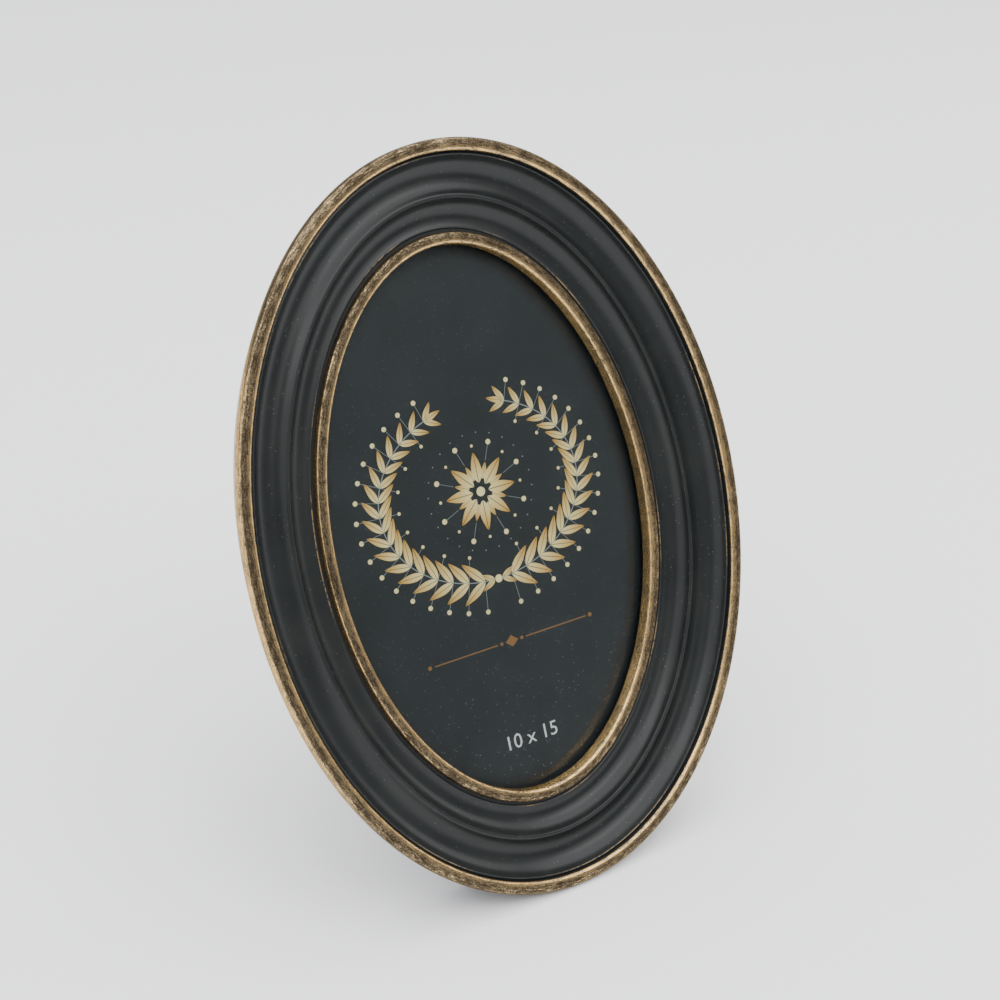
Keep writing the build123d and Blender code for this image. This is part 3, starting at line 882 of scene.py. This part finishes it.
def soft_light(name, aim, azimuth, elevation, away, width, height, radiance, hex_colour):
    """A soft rectangular light, seen from aim in degrees to the right of the front and above the floor."""
    across = radians(azimuth)
    up = radians(elevation)
    way = Vector((sin(across) * cos(up), -cos(across) * cos(up), sin(up)))
    data = bpy.data.lights.new(name, "AREA")
    data.shape = "RECTANGLE"
    data.size = width
    data.size_y = height
    data.energy = radiance * pi * width * height
    data.color = linear(hex_colour)[:3]
    lamp = bpy.data.objects.new(name, data)
    bpy.context.collection.objects.link(lamp)
    lamp.location = aim + way * away
    lamp.rotation_euler = (-way).to_track_quat("-Z", "Y").to_euler()


# Each light's name, its azimuth and elevation in degrees, its distance, width and height in metres,
# its radiance and its colour
LIGHTS = (
    ("overhead_scrim", 90, 90, 1.9, 3.8, 3.8, 3.1, "#fcfdff"),
    ("front_softbox", 15, 42, 1.6, 1.05, 1.0, 2.4, "#ffffff"),
    ("left_panel", -82, 28, 1.5, 2.3, 1.9, 1.25, "#f8faff"),
    ("right_panel", 86, 22, 1.6, 1.3, 0.9, 2.1, "#ffffff"),
)


class OVALFRAME_OT_stage(bpy.types.Operator):
    """Sets the pale floor, the soft lights and the camera"""

    bl_idname = "oval_frame.stage"
    bl_label = "Stage"

    def execute(self, context):
        floor_reach = 6.0
        bm = bmesh.new()
        bmesh.ops.create_grid(bm, x_segments=2, y_segments=2, size=floor_reach)
        mesh = bpy.data.meshes.new("floor")
        bm.to_mesh(mesh)
        bm.free()
        floor = bpy.data.objects.new("floor", mesh)
        bpy.context.collection.objects.link(floor)
        paper = new_material("pale_paper_backdrop")[0]
        mesh.materials.append(surface(paper, {"Base Color": linear("#f8f8f8"), "Roughness": 0.9}))
        world = bpy.data.worlds.new("studio")
        world.use_nodes = True
        background = world.node_tree.nodes["Background"].inputs
        background["Color"].default_value = linear("#f4f6fa")
        background["Strength"].default_value = 0.38
        context.scene.world = world
        middle = Vector((0, 30 * MM, 90 * MM))
        for name, *light in LIGHTS:
            soft_light(name, middle, *light)
        camera = bpy.data.cameras.new("camera")
        camera.sensor_width = 36
        camera.lens = 63.9
        camera.clip_start = 0.01
        holder = bpy.data.objects.new("camera", camera)
        bpy.context.collection.objects.link(holder)
        azimuth = radians(32.33)
        elevation = radians(27.78)
        aim = Vector((3.5 * MM, 32.6 * MM, 94.6 * MM))
        away = 471 * MM
        back = Vector((-sin(azimuth) * cos(elevation), -cos(azimuth) * cos(elevation), sin(elevation)))
        holder.location = aim + back * away
        holder.rotation_euler = (-back).to_track_quat("-Z", "Y").to_euler()
        context.scene.camera = holder
        return {"FINISHED"}


class OVALFRAME_PT_panel(bpy.types.Panel):
    """Lists the sizes, the colours and the steps of the build"""

    bl_idname = "OVALFRAME_PT_panel"
    bl_label = "Oval frame"
    bl_space_type = "VIEW_3D"
    bl_region_type = "UI"
    bl_category = "Oval Frame"

    def draw(self, context):
        for group in (context.scene.oval_frame_sizes, context.scene.oval_frame_colours):
            column = self.layout.column(align=True)
            for name in group.bl_rna.properties.keys():
                if name not in ("rna_type", "name"):
                    column.prop(group, name)
        for operator in OPERATORS:
            self.layout.operator(operator.bl_idname)


OPERATORS = (
    OVALFRAME_OT_stage,
    OVALFRAME_OT_moulding,
    OVALFRAME_OT_glazing,
    OVALFRAME_OT_artwork,
    OVALFRAME_OT_back,
    OVALFRAME_OT_hardware,
)
CLASSES = (OvalFrameSizes, OvalFrameColours) + OPERATORS + (OVALFRAME_PT_panel,)


def register():
    for cls in CLASSES:
        bpy.utils.register_class(cls)
    bpy.types.Scene.oval_frame_sizes = PointerProperty(type=OvalFrameSizes)
    bpy.types.Scene.oval_frame_colours = PointerProperty(type=OvalFrameColours)


def unregister():
    del bpy.types.Scene.oval_frame_colours
    del bpy.types.Scene.oval_frame_sizes
    for cls in reversed(CLASSES):
        bpy.utils.unregister_class(cls)


def main():
    register()
    bpy.ops.oval_frame.stage()
    bpy.ops.oval_frame.moulding()
    bpy.ops.oval_frame.glazing()
    bpy.ops.oval_frame.artwork()
    bpy.ops.oval_frame.back()
    bpy.ops.oval_frame.hardware()


if __name__ == "__main__":
    main()
